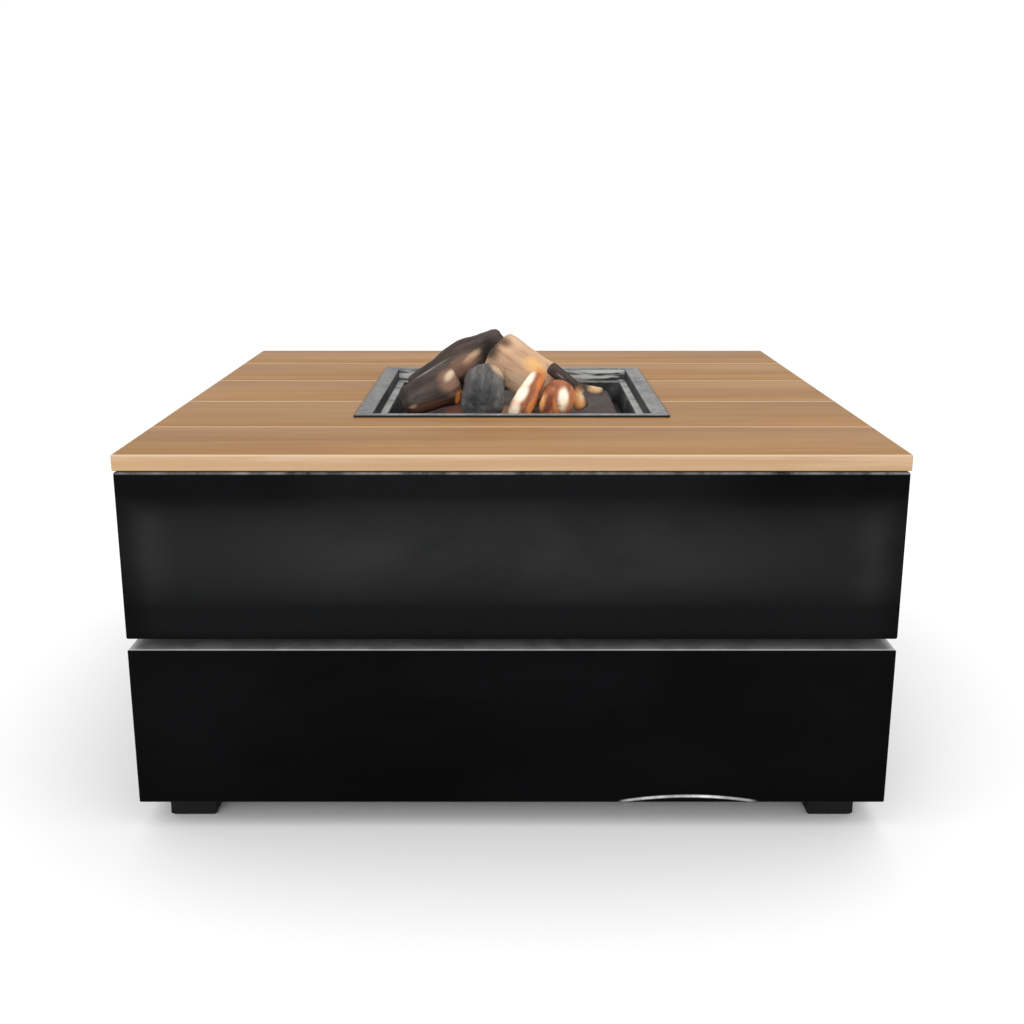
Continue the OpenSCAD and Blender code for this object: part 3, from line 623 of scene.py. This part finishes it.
def ember_bed(mottled_grey):
    """One moulded slab with sloping sides and a gently uneven top."""
    low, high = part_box("ember_bed")
    bed = block("ember_bed_moulded", low, high)
    pick(bed, lambda centre, normal: normal.z > 0.9)
    bpy.ops.transform.resize(value=(1 - 16 * MM / (high.x - low.x), 1 - 16 * MM / (high.y - low.y), 1))
    clear()
    finish_with(bed, "BEVEL", width=6 * MM, segments=3, limit_method="ANGLE", angle_limit=math.radians(30))
    finish_with(bed, "REMESH", mode="VOXEL", voxel_size=3.2 * MM)
    swell = bpy.data.textures.new("swell", "CLOUDS")
    swell.noise_scale = 0.05
    finish_with(bed, "DISPLACE", texture=swell, strength=2.5 * MM, mid_level=0.75, texture_coords="LOCAL")
    take(bed)
    bpy.ops.object.shade_smooth()
    place(bed, "fire_bed", "ember_bed", mottled_grey)


# ---------- logs ----------

def length_of_log(start, end, foot_radius, head_radius):
    """A tapered length whose ends are domed."""
    start, end = Vector(start), Vector(end)
    way = (end - start).normalized()
    parts = [rod("trunk", start, end, foot_radius, head_radius)]
    for centre, radius, push in ((start, foot_radius, -0.1), (end, head_radius, 0.1)):
        clear()
        turn = way.to_track_quat("Z", "Y").to_euler()
        bpy.ops.mesh.primitive_uv_sphere_add(segments=32, ring_count=16, radius=radius,
                                             location=centre + way * radius * push, rotation=turn,
                                             scale=(0.99, 0.99, 0.34))
        parts.append(settle(named("end")))
    return parts


def roughen(obj, start, end, seed, ridge, lump):
    """Bark ridges along the log, then broad lumps."""
    way = Vector(end) - Vector(start)
    clear()
    bpy.ops.object.empty_add(location=(Vector(start) + Vector(end)) / 2,
                             rotation=way.to_track_quat("Z", "Y").to_euler())
    guide = named("grain")
    guide.scale = (1, 1, 6)
    bpy.context.view_layer.update()
    bark = bpy.data.textures.new("bark", "CLOUDS")
    bark.noise_scale, bark.noise_depth = 0.0075, 3
    bulge = bpy.data.textures.new("bulge", "CLOUDS")
    bulge.noise_scale, bulge.noise_depth = 0.03 + 0.002 * seed, 1
    finish_with(obj, "DISPLACE", texture=bulge, strength=lump, mid_level=0.55, texture_coords="LOCAL")
    finish_with(obj, "DISPLACE", texture=bark, strength=ridge, mid_level=0.6,
                texture_coords="OBJECT", texture_coords_object=guide)
    bpy.data.objects.remove(guide)


def log(node, seed, base, lengths, marks, ridge=2.6, lump=6, grain=1.5):
    """A fired ceramic log: tapered lengths fused into one skin, then roughened. Sizes in mm."""
    lengths = [(at(*a), at(*b), r0 * MM, r1 * MM) for a, b, r0, r1 in lengths]
    obj = join(node + "_fired", [part for one in lengths for part in length_of_log(*one)])
    finish_with(obj, "REMESH", mode="VOXEL", voxel_size=grain * MM)
    finish_with(obj, "SMOOTH", factor=0.8, iterations=8)
    start, end = lengths[0][:2]
    roughen(obj, start, end, seed, ridge * MM, lump * MM)
    take(obj)
    bpy.ops.object.shade_smooth()
    place(obj, "fire_bed", node, fired("fired_" + node, start, end, base, seed, marks))


# mark colours: the pink, tan, pale, cream, amber, orange and reddish brown paint the fire's light on the
# logs, the pale grey paints highlight lines on ridges and rims
CREAM, AMBER, ORANGE = tone(246, 230, 208), tone(226, 176, 118), tone(200, 124, 70)
MAROON, PINK, SOOT = tone(128, 74, 56), tone(150, 118, 100), tone(34, 31, 29)
PALE, TAN, GREY_HIGHLIGHT = tone(206, 182, 160), tone(208, 172, 138), tone(140, 134, 130)
FIRELIT_RED, UMBER = tone(112, 74, 58), tone(66, 44, 34)
# the marks' weak emission: a painted glow of the fire
NO_GLOW, GLEAM, EMBER, FLAME = (0.0, 0.0, 0.0), (0.08, 0.05, 0.02), (0.16, 0.05, 0.01), (0.24, 0.185, 0.12)
CHAR = (tone(40, 33, 31), tone(72, 62, 58), tone(100, 88, 83))
GREY = (tone(38, 38, 40), tone(80, 79, 79), tone(130, 125, 120))
BARE = (tone(164, 130, 104), tone(204, 166, 134), tone(226, 194, 162))
RED = (tone(100, 54, 40), tone(160, 100, 72), tone(214, 148, 100))


def logs():
    """The seven logs. Each mark is a centre, half sizes, tilt, colour, light and fullness. Most marks paint
    the fire's light and highlights on the logs; no flame is modelled.
    """
    bend = (-78, 58, 68)
    log("log_left", 1, CHAR, [((-160, 56, 23), bend, 22, 36), (bend, (-22, 62, 82), 37, 39)], [
        ((-86, 25, 62), (50, 40, 24), 32, PINK, NO_GLOW, 0.9),
        ((-66, 22, 80), (24, 40, 8), 38, TAN, NO_GLOW, 0.7),
        ((-36, 25, 88), (19, 60, 40), 10, SOOT, NO_GLOW, 0.9),
        ((-132, 34, 58), (56, 20, 2.2), 32, GREY_HIGHLIGHT, NO_GLOW, 1.0),
    ])
    log("log_low_left", 2, CHAR, [((-158, -96, 28), (-99, -70, 48), 26, 33)], [
        ((-94, -95, 58), (28, 40, 28), 0, PINK, NO_GLOW, 0.95),
        ((-97, -95, 66), (15, 34, 8), 50, PALE, GLEAM, 1.0),
        ((-126, -116, 16), (60, 44, 19), 10, FIRELIT_RED, NO_GLOW, 0.9),
        ((-152, -118, 22), (10, 30, 4), 20, TAN, NO_GLOW, 0.6),
        ((-84, -95, 30), (18, 34, 5), 80, ORANGE, EMBER, 0.9),
    ])
    log("log_front", 3, GREY, [((-44, -164, 33), (-42, -102, 57), 32, 32)], [
        ((-20, -116, 78), (26, 34, 8), -44, TAN, NO_GLOW, 0.85),
        ((-24, -130, 58), (12, 40, 26), 0, GREY_HIGHLIGHT, NO_GLOW, 0.6),
        ((-56, -165, 46), (8, 40, 34), 0, tone(46, 46, 47), NO_GLOW, 0.6),
        ((-74, -130, 50), (6, 40, 34), 0, UMBER, NO_GLOW, 0.8),
    ])
    log("log_right", 4, BARE, [((52, -34, 40), (-18, -18, 88), 38, 37)], [
        ((6, -40, 112), (24, 26, 7), -38, CREAM, NO_GLOW, 0.15),
        ((-15, -28, 112), (24, 40, 13), -24, UMBER, NO_GLOW, 0.85),
        ((-36, -26, 100), (21, 100, 34), 20, SOOT, NO_GLOW, 0.9),
        ((35, -62, 78), (26, 30, 17), -30, AMBER, GLEAM, 0.9),
        ((46, -66, 66), (14, 26, 9), -40, ORANGE, EMBER, 0.6),
        ((4, -58, 46), (34, 40, 24), -34, PALE, tone(84, 64, 42), 0.9),
    ], ridge=1.6)
    bend = (24, -134, 42)
    log("log_split", 5, RED, [((10, -164, 22), bend, 18, 18), (bend, (39, -110, 64), 17, 14)], [
        ((28, -170, 24), (38, 34, 9), 66, ORANGE, EMBER, 0.9),
        ((44, -122, 62), (30, 30, 8), 58, ORANGE, EMBER, 0.9),
        ((20, -172, 30), (26, 26, 2.6), 62, MAROON, NO_GLOW, 0.7),
        ((-8, -160, 34), (30, 34, 4), 72, UMBER, NO_GLOW, 0.9),
        ((2, -172, 20), (26, 34, 12), 72, CREAM, FLAME, 1.0),
        ((12, -152, 46), (32, 34, 12), 60, CREAM, FLAME, 1.0),
        ((26, -126, 68), (26, 30, 10), 56, CREAM, FLAME, 0.95),
    ], 1.4, 3, 1.2)
    log("log_end", 6, RED, [((66, -146, 27), (73, -110, 38), 25, 26)], [
        ((44, -160, 36), (30, 40, 9), 78, AMBER, EMBER, 0.9),
        ((56, -165, 34), (28, 40, 8), 74, MAROON, NO_GLOW, 0.9),
        ((58, -130, 60), (22, 34, 6), -20, MAROON, NO_GLOW, 0.8),
        ((66, -168, 26), (22, 40, 5), 100, ORANGE, EMBER, 0.8),
        ((78, -160, 42), (28, 40, 12), 84, CREAM, FLAME, 1.0),
        ((96, -130, 34), (26, 40, 5), 90, ORANGE, EMBER, 0.8),
    ], 1.8, 4)
    fork = (95, -72, 46)
    log("log_small", 7, CHAR, [
        ((62, -82, 76), (95, -72, 47), 10, 11), (fork, (109, -74, 15), 9, 12), (fork, (140, -76, 39), 7, 6),
    ], [
        ((76, -92, 64), (13, 12, 2.4), -38, GREY_HIGHLIGHT, NO_GLOW, 0.9),
        ((104, -84, 28), (15, 26, 24), 0, AMBER, EMBER, 0.95),
        ((110, -84, 34), (8, 20, 12), 0, CREAM, GLEAM, 0.5),
        ((130, -78, 42), (18, 20, 12), 0, TAN, GLEAM, 0.95),
    ], 1.2, 2, 1.0)


# ---------- controls ----------

def control_knob(plastic):
    """A fluted knob with a skirt and a pointer groove."""
    low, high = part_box("control_knob")
    y, z = (low.y + high.y) / 2, (low.z + high.z) / 2
    radius = (high.y - low.y) / 2
    skirt = rod("control_knob_moulded", (low.x, y, z), (low.x + 5 * MM, y, z), radius, sides=96)
    grip = rod("grip", (low.x + 4 * MM, y, z), (high.x, y, z), radius - 3 * MM, radius - 3.6 * MM, sides=96)
    fuse(skirt, grip)
    flutes = []
    for i in range(12):
        a = math.tau * i / 12
        fy, fz = y + math.cos(a) * (radius - 0.5 * MM), z + math.sin(a) * (radius - 0.5 * MM)
        flutes.append(rod("flute", (low.x + 7 * MM, fy, fz), (high.x + 4 * MM, fy, fz), 3.5 * MM, sides=24))
    groove = block("groove", (high.x - 0.6 * MM, y - 1 * MM, z + 4 * MM),
                   (high.x + 2 * MM, y + 1 * MM, z + radius))
    cut(skirt, join("flutes", flutes), groove,
        rod("bore", (low.x - 1 * MM, y, z), (low.x + 12.4 * MM, y, z), 4.05 * MM))
    round_edges(skirt, 0.5 * MM, 2)
    place(skirt, "knob", "control_knob", plastic)


def control_panel(metal):
    """A pressed cup with a flat rim, bored for the spindle and the igniter."""
    low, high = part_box("control_panel")
    y, z = 260 * MM, 379 * MM
    half_y, half_z, wall = 75 * MM, 42 * MM, 1.5 * MM
    rim = block("control_panel_brushed", (high.x - wall, low.y, low.z), (high.x, high.y, high.z))
    cup_y, cup_z = half_y + wall, half_z + wall
    fuse(rim, block("cup", (low.x, y - cup_y, z - cup_z), (high.x - 0.3 * MM, y + cup_y, z + cup_z)))
    cut(rim, block("hollow", (low.x + wall, y - half_y, z - half_z), (0.6, y + half_y, z + half_z)),
        rod("spindle_hole", (low.x - 0.01, 0.232, z), (low.x + 0.01, 0.232, z), 6 * MM),
        rod("igniter_hole", (low.x - 0.01, 0.3, z), (low.x + 0.01, 0.3, z), 11.15 * MM))
    round_edges(rim, 0.6 * MM, 2)
    place(rim, "base", "control_panel", metal)


def igniter_button(metal):
    """A round push button with rounded edges."""
    low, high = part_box("igniter_button")
    y, z = (low.y + high.y) / 2, (low.z + high.z) / 2
    button = rod("igniter_button_turned", (low.x, y, z), (high.x, y, z), (high.y - low.y) / 2, sides=64)
    round_edges(button, 1.2 * MM)
    place(button, "igniter_push", "igniter_button", metal)


# ---------- the whole ----------

camera()
studio()
table_top()
finishes = {
    "black_coat": black_coat(),
    "steel": brushed("steel", tone(176, 177, 178)),
    "zinc": zinc("zinc_shield"),
    "dark_tray": dark_tray(),
    "iron": rough_iron(),
    "brass": brushed("brass", tone(196, 164, 96), 0.36),
    "knob_black": moulded("knob_black", tone(24, 24, 25)),
    "lead": moulded("lead", tone(30, 30, 31), 0.6),
    "foot_rubber": moulded("foot_rubber", tone(20, 20, 21), 0.65),
}
for part in frame["record"]["subparts"]:
    if part["material_slot"] in finishes:
        paint_node(part["node"], finishes[part["material_slot"]])
for node in ("foot_front_left", "foot_front_right", "foot_back_left", "foot_back_right"):
    foot(node, finishes["foot_rubber"])
burner_frame(zinc("zinc_rim", True))
ember_bed(moulded_ash())
logs()
control_panel(brushed("steel_cup", tone(168, 169, 170)))
control_knob(finishes["knob_black"])
igniter_button(finishes["steel"])
